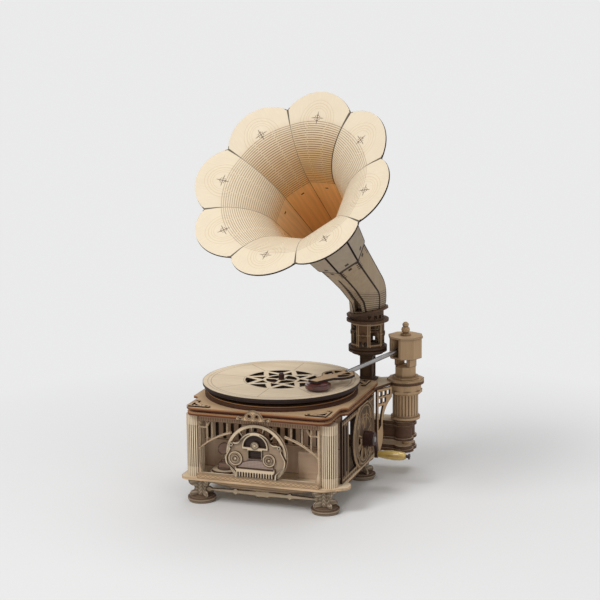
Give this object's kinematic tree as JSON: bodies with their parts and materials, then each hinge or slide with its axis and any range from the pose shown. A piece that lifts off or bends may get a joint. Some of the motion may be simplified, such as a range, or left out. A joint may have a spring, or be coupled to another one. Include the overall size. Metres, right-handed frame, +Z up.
{
  "type": "model gramophone",
  "caption": "Hand-cranked wooden model gramophone: a crank and gears turn the platter, the tonearm swings and lifts, and a petalled horn rises from a square case.",
  "frame": {"origin": "on the ground, at the centre of the whole model's footprint", "axes": "+Z up; the front of the case, with its round arch, faces -Y; the crank is on the +X side"},
  "size_m": [0.192, 0.2221, 0.3558],
  "materials": {
    "ply": "satin",
    "burnt_ply": "satin",
    "dark_wood": "satin",
    "varnished_wood": "glossy",
    "steel": "satin",
    "soundbox": "glossy"
  },
  "bodies": {
    "base": {"aprons": "ply", "back_wall": "ply", "backdrop": "ply", "bottom_plate": "ply", "comb": "ply", "corner_columns": "ply", "corner_scrolls": "ply", "deck_lower": "burnt_ply", "deck_spacer": "ply", "deck_top_plate": "ply", "feet": "ply", "front_arch": "ply", "front_crest": "ply", "front_frame": "ply", "front_rail": "ply", "front_stretcher": "ply", "gear_bearers": "ply", "horn_column": "ply", "horn_drum": "ply", "left_wall": "ply", "mechanism_cover": "ply", "neck_panels": "ply", "neck_rings": "ply", "petal_1": "ply", "petal_2": "ply", "petal_3": "ply", "petal_4": "ply", "petal_5": "ply", "petal_6": "ply", "petal_7": "ply", "petal_8": "ply", "platter_bush": "ply", "radio_dials": "ply", "radio_frame": "ply", "radio_panel": "ply", "rear_bracket": "ply", "right_wall": "ply", "shelf": "ply", "side_corbel": "ply", "side_rosette": "ply", "stage": "ply", "tower_collar": "ply", "tower_post": "ply", "tower_shelves": "ply", "toy_gramophone": "ply", "turntable_base": "burnt_ply"},
    "crank": {"crank_shaft": "steel", "crank_gear": "ply", "crank_arm": "dark_wood"},
    "handle": {"crank_handle": "varnished_wood"},
    "idler": {"idler_shaft": "steel", "idler_gears": "ply"},
    "platter": {"platter_top": "burnt_ply", "platter_under": "burnt_ply", "platter_shaft": "steel", "crown_gear": "ply"},
    "arm_swing": {"arm_head": "ply"},
    "arm_lift": {"arm_tube": "steel", "headshell": "ply", "soundbox": "soundbox"}
  },
  "joints": [
    {"name": "crank_turn", "type": "hinge", "parent": "base", "child": "crank", "pos_m": [0.035, 0.0247, 0.0482], "axis": [1, 0, 0], "continuous": true},
    {"name": "handle_spin", "type": "hinge", "parent": "crank", "child": "handle", "pos_m": [0.07, 0.03503, 0.03166], "axis": [1, 0, 0], "continuous": true},
    {"name": "idler_turn", "type": "hinge", "parent": "base", "child": "idler", "pos_m": [-0.001, 0.0127, 0.06519], "axis": [1, 0, 0], "continuous": true},
    {"name": "platter_turn", "type": "hinge", "parent": "base", "child": "platter", "pos_m": [-0.025, 0.0127, 0.09], "axis": [0, 0, 1], "continuous": true},
    {"name": "arm_swing", "type": "hinge", "parent": "base", "child": "arm_swing", "pos_m": [0.067, 0.0937, 0.1], "axis": [0, 0, 1], "range_deg": [-12, 28]},
    {"name": "arm_lift", "type": "hinge", "parent": "arm_swing", "child": "arm_lift", "pos_m": [0.067, 0.0937, 0.117], "axis": [-0.9107, 0.4131, 0], "range_deg": [0, 16]}
  ],
  "couplings": [
    {"joint": "idler_turn", "follows": "crank_turn", "ratio": -1.6},
    {"joint": "platter_turn", "follows": "crank_turn", "ratio": 0.8}
  ]
}
